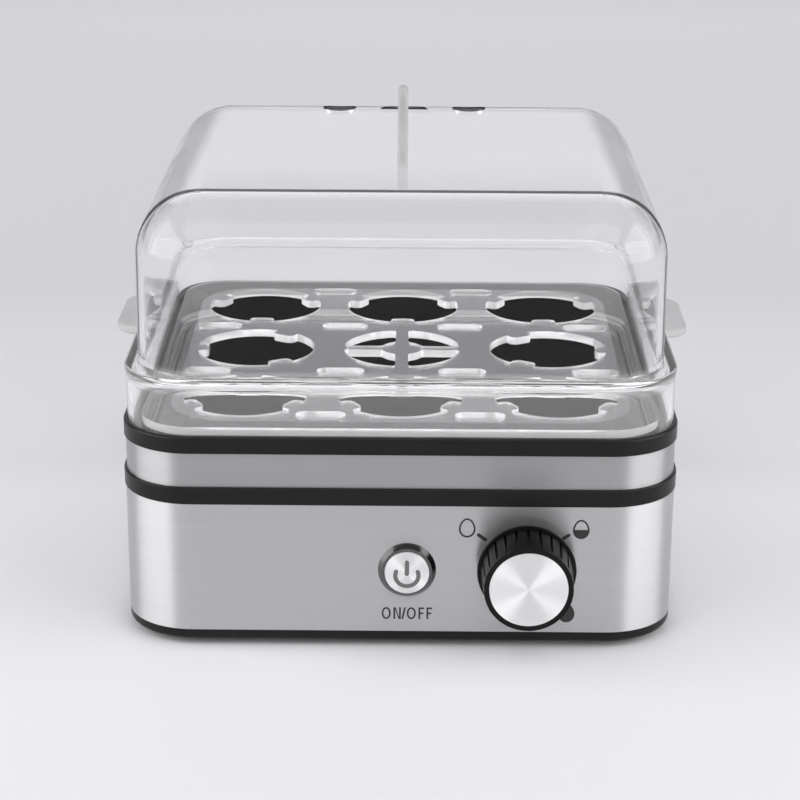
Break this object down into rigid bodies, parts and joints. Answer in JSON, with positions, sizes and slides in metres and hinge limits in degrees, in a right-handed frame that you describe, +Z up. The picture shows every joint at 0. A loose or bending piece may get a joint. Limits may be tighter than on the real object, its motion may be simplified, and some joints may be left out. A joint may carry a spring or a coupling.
{
  "type": "egg boiler",
  "caption": "Countertop egg boiler: steel-clad heated base, clear egg tray, clear domed lid with fin grip, rotary setting knob and push button.",
  "frame": {"origin": "floor level, below the centre of the whole outline with the knob and the cord gland", "axes": "+Z up, front with the controls towards -Y, +X to the right seen from the front"},
  "size_m": [0.2044, 0.2152, 0.1731],
  "materials": {
    "black_plastic": "satin",
    "knob_plastic": "satin",
    "brushed_steel": "brushed along the faces",
    "plated_steel": "zinc plated",
    "coated_aluminium": "black non-stick coating",
    "aluminium": "mill",
    "turned_aluminium": "turned, circular brushing",
    "heater_steel": "mill",
    "chrome": "polished",
    "white_ceramic": "satin",
    "white_plastic": "satin",
    "blue_plastic": "satin",
    "circuit_board": "satin",
    "clear_plastic": "clear, polished",
    "black_rubber": "matt",
    "grey_rubber": "matt",
    "wire_rubber": "satin"
  },
  "bodies": {
    "housing": {"base_pan": "black_plastic", "steel_casing": "brushed_steel", "middle_rim": "black_plastic", "upper_band": "brushed_steel", "upper_rim": "black_plastic", "base_screws": "plated_steel", "rim_screws": "plated_steel", "heating_bowl": "coated_aluminium", "bowl_seal": "grey_rubber", "heat_spreader": "aluminium", "heating_element": "heater_steel", "heat_shield": "heater_steel", "tie_stud": "plated_steel", "tie_nut": "plated_steel", "thermostat": "white_ceramic", "thermostat_strap": "plated_steel", "thermal_fuse": "white_ceramic", "fuse_clip": "plated_steel", "regulator": "black_plastic", "regulator_washer": "plated_steel", "regulator_nut": "plated_steel", "button_bezel": "chrome", "button_spring": "plated_steel", "switch_body": "black_plastic", "control_board": "circuit_board", "relay": "blue_plastic", "buzzer": "black_plastic", "capacitor": "blue_plastic", "terminal_block": "white_plastic", "cord_gland": "black_rubber", "supply_wires": "wire_rubber", "heater_wires": "wire_rubber", "rubber_foot_1": "black_rubber", "rubber_foot_2": "black_rubber", "rubber_foot_3": "black_rubber", "rubber_foot_4": "black_rubber"},
    "lid": {"lid_shell": "clear_plastic", "lid_ear_left": "clear_plastic", "lid_ear_right": "clear_plastic", "lid_grip": "clear_plastic"},
    "tray": {"egg_tray": "clear_plastic"},
    "knob": {"knob_body": "knob_plastic", "knob_insert": "turned_aluminium", "knob_shaft": "plated_steel"},
    "button": {"button_cap": "turned_aluminium", "switch_plunger": "white_plastic"}
  },
  "joints": [
    {"name": "lid_lift", "type": "slide", "parent": "housing", "child": "lid", "axis": [0, 0, 1], "range_m": [0, 0.15]},
    {"name": "tray_lift", "type": "slide", "parent": "housing", "child": "tray", "axis": [0, 0, 1], "range_m": [0, 0.008]},
    {"name": "knob_turn", "type": "hinge", "parent": "housing", "child": "knob", "pos_m": [0.0423, -0.08685, 0.0308], "axis": [0, 1, 0], "range_deg": [0, 190]},
    {"name": "button_press", "type": "slide", "parent": "housing", "child": "button", "axis": [0, 1, 0], "range_m": [0, 0.002], "stiffness_N_per_m": 700, "springref_m": -0.001, "deforming": ["button_spring"]}
  ]
}
